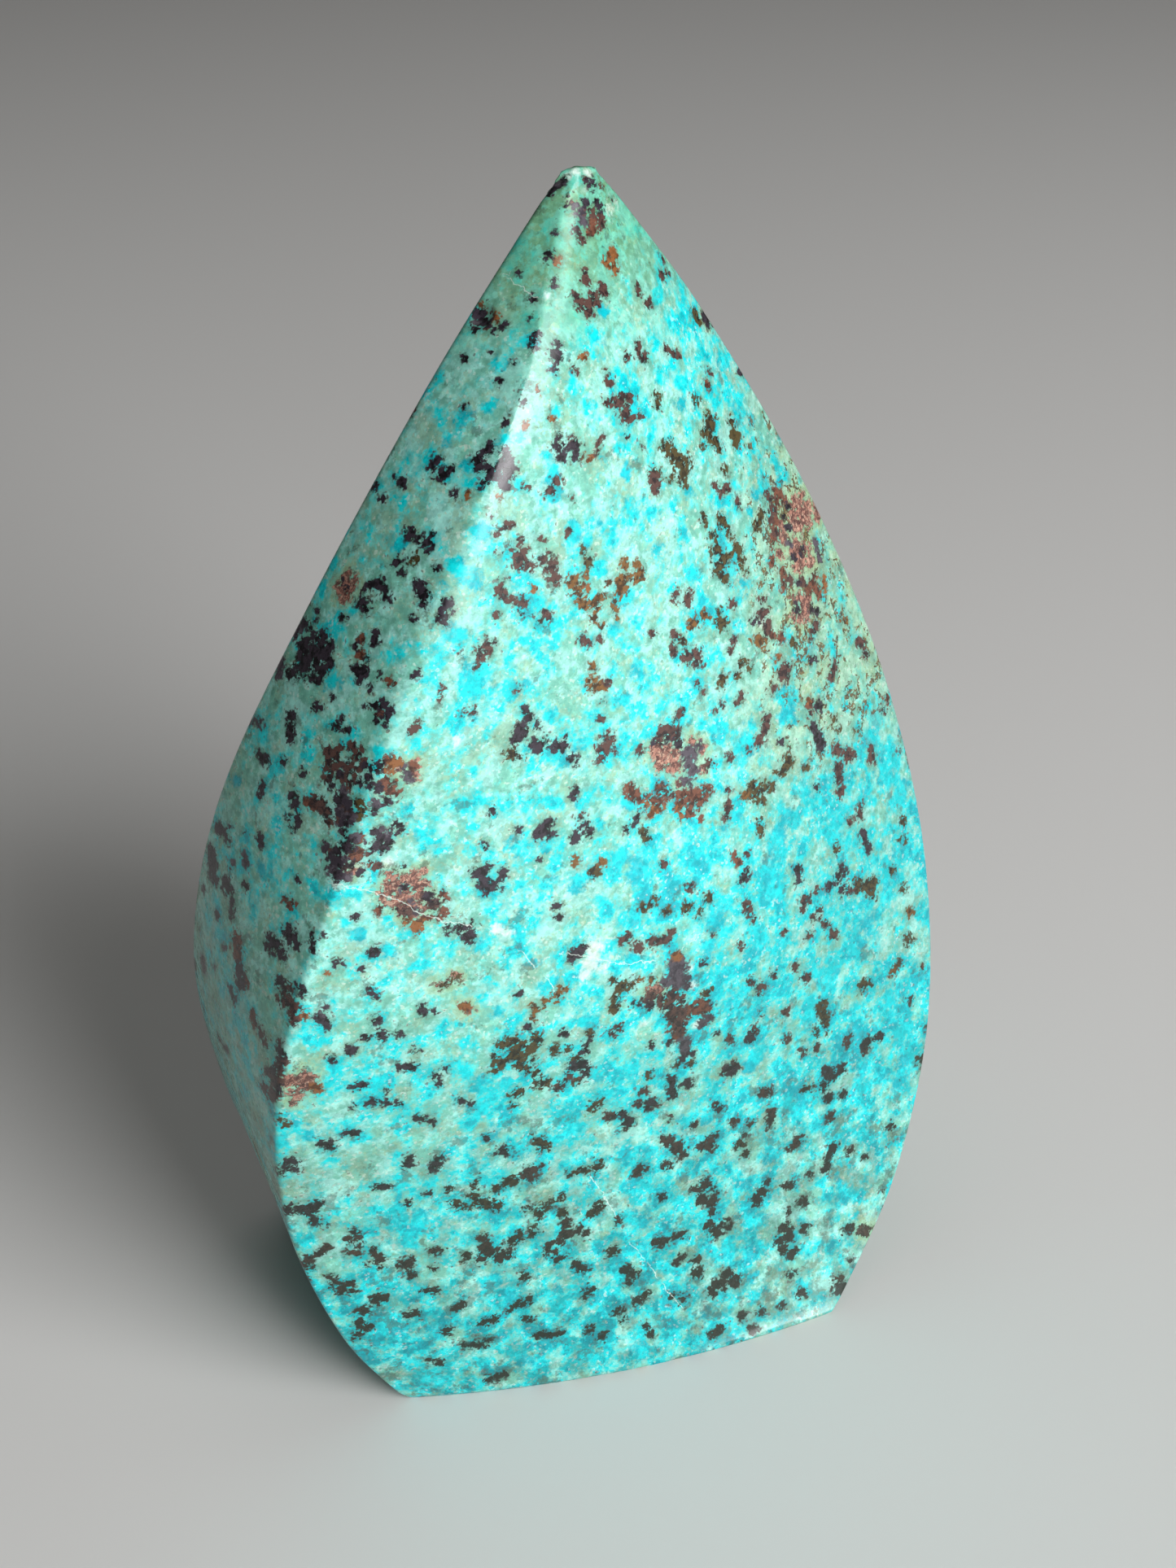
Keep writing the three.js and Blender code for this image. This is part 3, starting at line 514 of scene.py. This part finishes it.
# The faces that the photograph doesn't show have marks of the same kinds and sizes, strewn by chance in
# clusters: how many there are of a kind, and its smallest and largest radius.
UNSEEN_MARKS = {
    "black": (640, 0.00018, 0.00080),
    "grey": (90, 0.00025, 0.00085),
    "brown": (560, 0.00018, 0.00065),
    "olive": (330, 0.00020, 0.00065),
    "ochre": (70, 0.00020, 0.00070),
    "rust": (110, 0.00020, 0.00065),
    "pink": (60, 0.00040, 0.00090),
    "orange": (22, 0.00018, 0.00040),
    "blue": (210, 0.00035, 0.00110),
    "milky": (10, 0.00035, 0.00080),
}
CLUSTER_SIZES = (1, 1, 2, 3, 5)
CLUSTER_SPREAD = 0.0011
LENGTH_SPREAD = CLUSTER_SPREAD / 3
surface.normal_update()
unseen = [face for face in surface.faces if not is_seen(face)]
unseen_areas = [face.calc_area() for face in unseen]
chance = random.Random(11)
seen_bodies = {kind: bodies(marks) for kind, marks in SEEN_MARKS.items()}
unseen_bodies = {}
for kind, (count, smallest, largest) in UNSEEN_MARKS.items():
    unseen_bodies[kind] = []
    while len(unseen_bodies[kind]) < count:
        heart = chance.choices(unseen, unseen_areas)[0].calc_center_median()
        for _ in range(chance.choice(CLUSTER_SIZES)):
            start = heart + Vector([chance.gauss(0, CLUSTER_SPREAD) for _ in range(3)])
            end = start + Vector([chance.gauss(0, LENGTH_SPREAD) for _ in range(3)])
            radius = smallest + (largest - smallest) * chance.random() ** 2
            unseen_bodies[kind].append((numpy.array(start), numpy.array(end), radius))


def strengths(points):
    """The strength of each kind of mark at each point."""
    view = as_seen(points)
    view_tree = tree_of(view)
    tree = tree_of(points)
    found = {}
    for kind in SEEN_MARKS:
        seen = strength(view, view_tree, seen_bodies[kind])
        found[kind] = numpy.maximum(seen, strength(points, tree, unseen_bodies[kind]))
    return found


# The mesh is finest where a small dark mark has to keep its outline.
DARK_KINDS = ("black", "grey", "brown", "olive", "ochre", "rust", "pink", "orange")
LONGEST_EDGE = 0.00065
LONGEST_UNSEEN_EDGE = 0.0012
LONGEST_MARKED_EDGE = 0.0003
LONGEST_UNSEEN_MARKED_EDGE = 0.0006
MARK_SURROUND = -0.75
CUTTING_ROUNDS = 4
BASE_TOP = 1e-5  # points up to this height are on the flat base, which stays as it is
UNWORN_HEIGHT = 1e-4  # and the polishing starts at this one

for _ in range(CUTTING_ROUNDS):
    surface.verts.index_update()
    points = numpy.array([vertex.co for vertex in surface.verts])
    found_marks = strengths(points)
    darkest = numpy.maximum.reduce([found_marks[kind] for kind in DARK_KINDS])
    seen_now = {face for face in surface.faces if is_seen(face)}
    too_long = []
    for edge in surface.edges:
        on_show = any(face in seen_now for face in edge.link_faces)
        marked = max(darkest[vertex.index] for vertex in edge.verts) > MARK_SURROUND
        if on_show:
            limit = LONGEST_MARKED_EDGE if marked else LONGEST_EDGE
        else:
            limit = LONGEST_UNSEEN_MARKED_EDGE if marked else LONGEST_UNSEEN_EDGE
        on_base = max(vertex.co.z for vertex in edge.verts) < BASE_TOP
        if edge.calc_length() > limit and not on_base:
            too_long.append(edge)
    bmesh.ops.subdivide_edges(surface, edges=too_long, cuts=1, use_grid_fill=True)
for vertex in surface.verts:
    if vertex.co.z > BASE_TOP:
        vertex.co = smooth_form.find_nearest(vertex.co)[0]
surface.normal_update()

for vertex in surface.verts:
    if vertex.co.z < UNWORN_HEIGHT:
        continue
    inward = WAVE_DEPTH * (noise.noise(vertex.co / WAVE_SIZE) * 0.5 + 0.5)
    if vertex.co.z > TIP_WEAR_HEIGHT:
        wear = min((vertex.co.z - TIP_WEAR_HEIGHT) / TIP_WEAR_RISE, 1)
        inward += TIP_WEAR_DEPTH * wear * abs(noise.noise(vertex.co / TIP_WEAR_SIZE))
    for middle, width, depth in chips:
        gap = (vertex.co - middle).length / width
        if gap < 1:
            roughness = CHIP_ROUGHNESS * noise.noise(vertex.co / CHIP_ROUGHNESS_SIZE)
            inward += depth * (1 - gap * gap) * (CHIP_FULLNESS + roughness)
    vertex.co -= vertex.normal * inward
stone_mesh = bpy.data.meshes.new("stone")
surface.to_mesh(stone_mesh)
surface.free()
stone.data = stone_mesh
for polygon in stone_mesh.polygons:
    polygon.use_smooth = True

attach(stone, "root")
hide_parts("flame_stone")


def keep(name, values):
    """Stores one value for each point of the stone's mesh, for its material to read."""
    layer = stone_mesh.attributes.new(name, "FLOAT", "POINT")
    layer.data.foreach_set("value", values.astype(numpy.float32))


places = numpy.empty(len(stone_mesh.vertices) * 3)
stone_mesh.vertices.foreach_get("co", places)
places = places.reshape(-1, 3)
found_marks = strengths(places)
for kind, values in found_marks.items():
    keep(kind, values)
keep("darkest", numpy.maximum.reduce([found_marks[kind] for kind in DARK_KINDS]))

# A crack has two values at each point, in millimetres: the distance to its line, over 0 on one side and
# under 0 on the other, and the same distance with no side, which says where the line ends.
MILLIMETRES = 1000
NO_CRACK = 0.01
crack_side = numpy.full(len(places), NO_CRACK)
crack_gap = numpy.full(len(places), NO_CRACK)
places_seen = as_seen(places)
for line in PALE_CRACKS:
    turns = [as_seen(seen_point(*pixel)) for pixel in line]
    for start, end in zip(turns, turns[1:]):
        along = end - start
        share = ((places_seen - start) @ along / (along @ along)).clip(0, 1)
        apart = places_seen - start - numpy.outer(share, along)
        gap = numpy.linalg.norm(apart, axis=1)
        side = numpy.sign(along[0] * apart[:, 1] - along[1] * apart[:, 0])
        nearer = gap < crack_gap
        crack_gap[nearer] = gap[nearer]
        crack_side[nearer] = (gap * side)[nearer]
keep("crack_side", crack_side * MILLIMETRES)
keep("crack_gap", crack_gap * MILLIMETRES)


# THE POLISHED SURFACE
# Pale blue-green quartz full of fine crystals, stained deeper blue in patches, with the minerals of the
# marks in it. It has a satin polish. The flat base is only ground.

def paint(red, green, blue):
    """A colour as the eye names it, 0 to 255, made linear."""
    shares = [value / 255 for value in (red, green, blue)]
    return (*[s / 12.92 if s < 0.04045 else ((s + 0.055) / 1.055) ** 2.4 for s in shares], 1)


class Shade:
    """One output of a shader node. Arithmetic on it adds Math nodes to the tree of its material."""

    tree = None

    def __init__(self, socket):
        self.socket = socket

    @classmethod
    def node(cls, kind, settings, inputs, output=0):
        """Adds a node with these settings and inputs, and gives one of its outputs."""
        made = cls.tree.nodes.new(kind)
        for name, value in settings.items():
            setattr(made, name, value)
        for name, value in inputs.items():
            if isinstance(value, Shade):
                cls.tree.links.new(value.socket, made.inputs[name])
            else:
                made.inputs[name].default_value = value
        return cls(made.outputs[output])

    @classmethod
    def math(cls, operation, first, second):
        return cls.node("ShaderNodeMath", {"operation": operation}, {0: first, 1: second})

    def __add__(self, other):
        return self.math("ADD", self, other)

    def __radd__(self, other):
        return self.math("ADD", other, self)

    def __sub__(self, other):
        return self.math("SUBTRACT", self, other)

    def __rsub__(self, other):
        return self.math("SUBTRACT", other, self)

    def __mul__(self, other):
        return self.math("MULTIPLY", self, other)

    def __rmul__(self, other):
        return self.math("MULTIPLY", other, self)

    def __abs__(self):
        return self.math("ABSOLUTE", self, 0)


def between(value, low, high):
    """0 up to low, 1 from high on, and a smooth rise between them."""
    limits = {"Value": value, "From Min": low, "From Max": high}
    return Shade.node("ShaderNodeMapRange", {"interpolation_type": "SMOOTHSTEP"}, limits)


def blend(share, first, second):
    """One colour going over into another."""
    return Shade.node("ShaderNodeMix", {"data_type": "RGBA"}, {0: share, 6: first, 7: second}, 2)


def lighten(colour, factor):
    """A colour made lighter, or darker by a factor under 1."""
    return Shade.node("ShaderNodeHueSaturation", {}, {"Color": colour, "Value": factor})


def cloud(size, detail, roughness=0.55):
    """Soft random blotches of about the given size in metres, from 0 to 1 round 0.5."""
    inputs = {"Vector": position, "Scale": 1 / size, "Detail": detail, "Roughness": roughness}
    return Shade.node("ShaderNodeTexNoise", {}, inputs)


def crystals(size, where):
    """Grains of the given size, each with a random value from 0 to 1."""
    cells = Shade.node("ShaderNodeTexVoronoi", {}, {"Vector": where, "Scale": 1 / size}, "Color")
    return Shade.node("ShaderNodeSeparateColor", {}, {"Color": cells})


def mark(name):
    """The strength of a kind of mark, or a distance to a crack, as kept in the mesh."""
    return Shade.node("ShaderNodeAttribute", {"attribute_name": name}, {}, "Fac")


chrysocolla = bpy.data.materials.new("polished_chrysocolla")
chrysocolla.use_nodes = True
Shade.tree = chrysocolla.node_tree
position = Shade.node("ShaderNodeTexCoord", {}, {}, "Object")

PALE = paint(146, 212, 200)
MINT = paint(112, 184, 164)
GREY_GREEN = paint(130, 172, 146)
CYAN = paint(80, 204, 198)
TURQUOISE = paint(0, 204, 208)
DEEP_BLUE = paint(0, 172, 182)
TIP_GREEN = paint(78, 168, 134)
OLIVE_GREEN = paint(96, 146, 98)
YELLOW_STAIN = paint(166, 188, 134)
MILK = paint(214, 230, 220)
CREAM = paint(206, 176, 152)
LACE = paint(70, 46, 44)
SMUDGE = paint(62, 78, 68)
DUST = paint(42, 42, 38)
FOOT_OLIVE = paint(28, 40, 30)
STRING_BROWN = paint(58, 44, 30)
STRING_OCHRE = paint(104, 80, 44)

broad = cloud(0.007, 3)
mottle = cloud(0.0026, 5, 0.62)
patches = cloud(0.0019, 5, 0.66)
speckle = cloud(0.0008, 3, 0.6)
fine = cloud(0.00035, 2)
grain = crystals(0.0004, position)
small_grain = crystals(0.00022, position)

# The same positions moved about a little, so that larger crystals get jagged edges.
MOVE_SIZE = 0.0008
LARGEST_MOVE = 0.0015
move_inputs = {"Vector": position, "Scale": 1 / MOVE_SIZE, "Detail": 4}
moves = Shade.node("ShaderNodeTexNoise", {}, move_inputs, "Color")
jagged = Shade.node(
    "ShaderNodeVectorMath",
    {"operation": "MULTIPLY_ADD"},
    {0: moves, 1: (LARGEST_MOVE, LARGEST_MOVE, LARGEST_MOVE), 2: position},
)
blocks = crystals(0.0012, jagged)
small_blocks = crystals(0.0006, jagged)

# The zones of the stone, each with the two heights or places across between which it comes in or fades out.
# There is more blue towards the right and the foot, and at the very foot more on the left.
FOOT = (0.006, 0.056)
LOWEST = (0.004, 0.026)
LOWEST_RIGHT = (0, 0.016)
RIGHT = (-0.055, 0.003)
TIP = (0.087, 0.096)
TIP_RAGGEDNESS = 0.016
across = Shade.node("ShaderNodeSeparateXYZ", {}, {"Vector": position}, "X")
height = Shade.node("ShaderNodeSeparateXYZ", {}, {"Vector": position}, "Z")
foot = 1 - between(height, *FOOT)
lowest = 1 - between(height, *LOWEST)
tip = between(height + (mottle - 0.5) * TIP_RAGGEDNESS, *TIP)
bluer_foot = lowest * (1 - between(across, *LOWEST_RIGHT)) * 0.1 + foot * 0.02
bluer = between(across - height * 0.5, *RIGHT) * (1 - lowest) * 0.1 + bluer_foot - 0.038

# Iron has stained the right side yellow above the middle. There is less blue in it.
YELLOW_SIDE = (0.009, 0.017)
YELLOW_STARTS = (0.046, 0.058)
YELLOW_ENDS = (0.074, 0.084)
yellowed = between(height, *YELLOW_STARTS) * (1 - between(height, *YELLOW_ENDS))
yellowed = between(across, *YELLOW_SIDE) * yellowed

# The quartz itself: pale and mint, grey and grainy here and there, going over into cyan and turquoise. A blue
# or milky patch comes in between its two strengths.
BLUE_EDGE = (-0.4, 0.5)
MILKY_EDGE = (-0.5, 0.6)
paler = mottle + (speckle - 0.5) * 0.4 + (small_blocks - 0.5) * 0.16
rock = blend(between(paler, 0.4, 0.58), MINT, PALE)
greyer = cloud(0.0032, 5, 0.7) + (small_grain - 0.5) * 0.12 + (blocks - 0.5) * 0.1
rock = blend(between(greyer, 0.5, 0.6) * 0.75, rock, GREY_GREEN)
spread_blue = patches + (broad - 0.5) * 0.4 + (speckle - 0.5) * 0.2 + (blocks - 0.5) * 0.1
spread_blue = spread_blue + bluer - yellowed * 0.09
rock = blend(between(spread_blue, 0.44, 0.54) * 0.7, rock, CYAN)
rock = blend(between(spread_blue, 0.53, 0.6), rock, TURQUOISE)
rock = blend(between(spread_blue, 0.62, 0.68), rock, DEEP_BLUE)
rock = blend(tip * 0.7, rock, blend(between(paler, 0.44, 0.54), OLIVE_GREEN, TIP_GREEN))
rock = blend(yellowed * between(mottle, 0.4, 0.55) * 0.45, rock, YELLOW_STAIN)
blue = between(mark("blue") + (cloud(0.0012, 5, 0.7) - 0.5) * 5, *BLUE_EDGE)
rock = blend(blue, rock, blend(between(patches, 0.42, 0.54), DEEP_BLUE, TURQUOISE))
milky = between(mark("milky") + (cloud(0.0012, 6, 0.75) - 0.5) * 4, *MILKY_EDGE)
rock = blend(milky * 0.8, rock, MILK)
rock = lighten(rock, 0.87 + 0.26 * grain)
rock = lighten(rock, 0.5 + speckle)
# Pale quartz grains, which also stand for the glints of the polish: partly the rock's own colour, partly
# painted highlights.
pale_grains_and_glints = between(small_grain + (speckle - 0.5) * 0.8, 0.9, 0.98) * (1 - blue)
rock = blend(pale_grains_and_glints * (1 - tip) * 0.42, rock, MILK)

# Painted shade: the foot is darkened in blotches, and the right side is a little darker above it.
PAINTED_SHADE_SIDE = (0.006, 0.020)
shade = 0.45 * between(cloud(0.0016, 5, 0.7), 0.44, 0.56)
# painted shade on the right side above the foot
painted_side_shade = between(across, *PAINTED_SHADE_SIDE) * (1 - foot) * 0.2
rock = lighten(rock, 1 - foot * shade - painted_side_shade)

# Iron has stained the quartz yellow round the pink minerals. Grey smudges are thicker towards the foot, and
# dark dust is thickest round the marks.
STAIN_EDGE = (-1.4, -0.5)
HALO_EDGE = (-1.0, 0.4)
ragged = (cloud(0.0011, 6, 0.78) - 0.5) * 3.4 + (grain - 0.5) * 0.7 + (small_grain - 0.5) * 0.5
stained = between(mark("pink") + ragged * 0.8, *STAIN_EDGE)
rock = blend(stained * 0.45, rock, YELLOW_STAIN)
nearest = mark("darkest")
halo = between(nearest + ragged * 1.1, *HALO_EDGE)
rock = blend(halo * 0.4, rock, SMUDGE)
smudges = between(cloud(0.0021, 5, 0.7) + (grain - 0.5) * 0.06 + foot * 0.05, 0.6, 0.67)
rock = blend(smudges * 0.6, rock, SMUDGE)
dusty = small_grain + nearest * 0.2 + (speckle - 0.5) * 1.2 + foot * 0.06
rock = blend(between(dusty, 0.86, 0.94) * 0.65, rock, DUST)

# Thin broken strings of iron minerals run through the yellow area.
strings = 1 - between(abs(cloud(0.0026, 4, 0.7) - 0.5), 0.022, 0.036)
broken = between(yellowed + (broad - 0.5) * 1.2, 0.3, 0.6) * between(cloud(0.0017, 4, 0.7), 0.5, 0.53)
string_colour = blend(between(fine, 0.42, 0.58), STRING_BROWN, STRING_OCHRE)
rock = blend(strings * broken * 0.9, rock, string_colour)

# Each mineral has its two colours, and how far its edges break up into grains.
MINERAL_EDGE = (-0.15, 0.2)
MINERALS = {
    "pink": (paint(96, 64, 58), paint(164, 118, 102), 0.9),
    "olive": (paint(34, 30, 18), paint(76, 66, 38), 1.2),
    "ochre": (paint(60, 42, 22), paint(116, 82, 42), 1.1),
    "rust": (paint(62, 38, 30), paint(110, 70, 54), 0.9),
    # Grey is partly a painted sheen on black minerals along the lower left ridge.
    "grey": (paint(58, 52, 60), paint(82, 76, 84), 0.7),
    "orange": (paint(84, 52, 28), paint(132, 86, 50), 0.9),
    "brown": (paint(42, 31, 32), paint(84, 60, 54), 1.0),
    "black": (paint(18, 15, 20), paint(52, 45, 54), 0.9),
}
for kind, (dark, light, breaking) in MINERALS.items():
    here = between(mark(kind) + ragged * breaking, *MINERAL_EDGE)
    inside = blend(between(grain * 0.5 + fine, 0.6, 0.92), dark, light)
    if kind == "pink":
        inside = blend(between(small_grain + speckle, 1.26, 1.34) * 0.5, inside, CREAM)
        lace = 1 - between(abs(cloud(0.0010, 4, 0.75) - 0.5), 0.01, 0.045)
        inside = blend(lace * 0.8, inside, LACE)
    rock = blend(here, rock, blend(foot * 0.9, inside, FOOT_OLIVE))

# The healed cracks waver, break off here and there, and end where their lines end.
CRACK_WIDTH = (0.01, 0.06)  # millimetres
CRACK_REACH = (0.25, 0.5)
crack = abs(mark("crack_side") + (speckle - 0.5) * 0.9)
whole = between(mottle, 0.4, 0.5) * (1 - between(mark("crack_gap"), *CRACK_REACH))
rock = blend((1 - between(crack, *CRACK_WIDTH)) * whole * 0.65, rock, MILK)

# The polish makes the surface smoother, though less so on some crystals, and leaves a very low relief.
GROUND_BASE = 0.0001
GROUND_ROUGHNESS = 0.6
POLISH = 0.4
POLISH_UNEVENNESS = 0.16
QUARTZ_IOR = 1.5
RELIEF_HEIGHT = 0.00003
RELIEF_STRENGTH = 0.6
polished = between(height, 0, GROUND_BASE)
relief = speckle * 0.5 + fine * 0.35 + grain * 0.3
bump_inputs = {"Height": relief, "Distance": RELIEF_HEIGHT, "Strength": RELIEF_STRENGTH}
bumps = Shade.node("ShaderNodeBump", {}, bump_inputs)
skin = Shade.tree.nodes["Principled BSDF"]
skin.inputs["IOR"].default_value = QUARTZ_IOR
for name, value in {
    "Base Color": rock,
    "Roughness": GROUND_ROUGHNESS - polished * (POLISH - POLISH_UNEVENNESS * speckle),
    "Normal": bumps,
}.items():
    Shade.tree.links.new(value.socket, skin.inputs[name])
stone_mesh.materials.append(chrysocolla)


# THE STUDIO
# A plain pale floor and soft light: a large window in front to the right, a smaller one low beside it, a weak
# one above and an even pale sky.

FLOOR_HALF_WIDTH = 6
FLOOR_COLOUR = (0.7, 0.69, 0.67, 1)
FLOOR_ROUGHNESS = 0.7
SKY_COLOUR = (1.0, 0.98, 0.94, 1)
SKY_STRENGTH = 0.06


def soft_light(name, stand, size, watts, colour):
    """A rectangular light that faces the middle of the stone."""
    light = bpy.data.lights.new(name, "AREA")
    light.shape = "RECTANGLE"
    light.size, light.size_y = size
    light.energy = watts
    light.color = colour
    lamp = bpy.data.objects.new(name, light)
    lamp.location = stand
    lamp.rotation_euler = (STONE_MIDDLE - Vector(stand)).to_track_quat("-Z", "Y").to_euler()
    bpy.context.scene.collection.objects.link(lamp)


soft_light("window_light", (0.41, -0.65, 0.45), (0.6, 0.66), 9.6, (0.98, 0.99, 1.0))
soft_light("low_light", (0.36, -0.70, 0.17), (0.26, 0.3), 2.0, (1.0, 0.99, 1.0))
soft_light("top_light", (-0.05, 0.05, 0.9), (0.5, 0.5), 0.8, (1.0, 1.0, 1.0))

floor_form = bmesh.new()
bmesh.ops.create_grid(floor_form, x_segments=1, y_segments=1, size=FLOOR_HALF_WIDTH)
floor_mesh = bpy.data.meshes.new("floor")
floor_form.to_mesh(floor_mesh)
floor_form.free()
floor = bpy.data.objects.new("floor", floor_mesh)
bpy.context.scene.collection.objects.link(floor)
floor_paint = bpy.data.materials.new("pale_floor")
floor_paint.use_nodes = True
floor_skin = floor_paint.node_tree.nodes["Principled BSDF"]
floor_skin.inputs["Base Color"].default_value = FLOOR_COLOUR
floor_skin.inputs["Roughness"].default_value = FLOOR_ROUGHNESS
floor_mesh.materials.append(floor_paint)

sky = bpy.data.worlds.new("pale_sky")
sky.use_nodes = True
sky_light = sky.node_tree.nodes["Background"]
sky_light.inputs["Color"].default_value = SKY_COLOUR
sky_light.inputs["Strength"].default_value = SKY_STRENGTH
bpy.context.scene.world = sky
bpy.context.scene.view_settings.view_transform = "Standard"
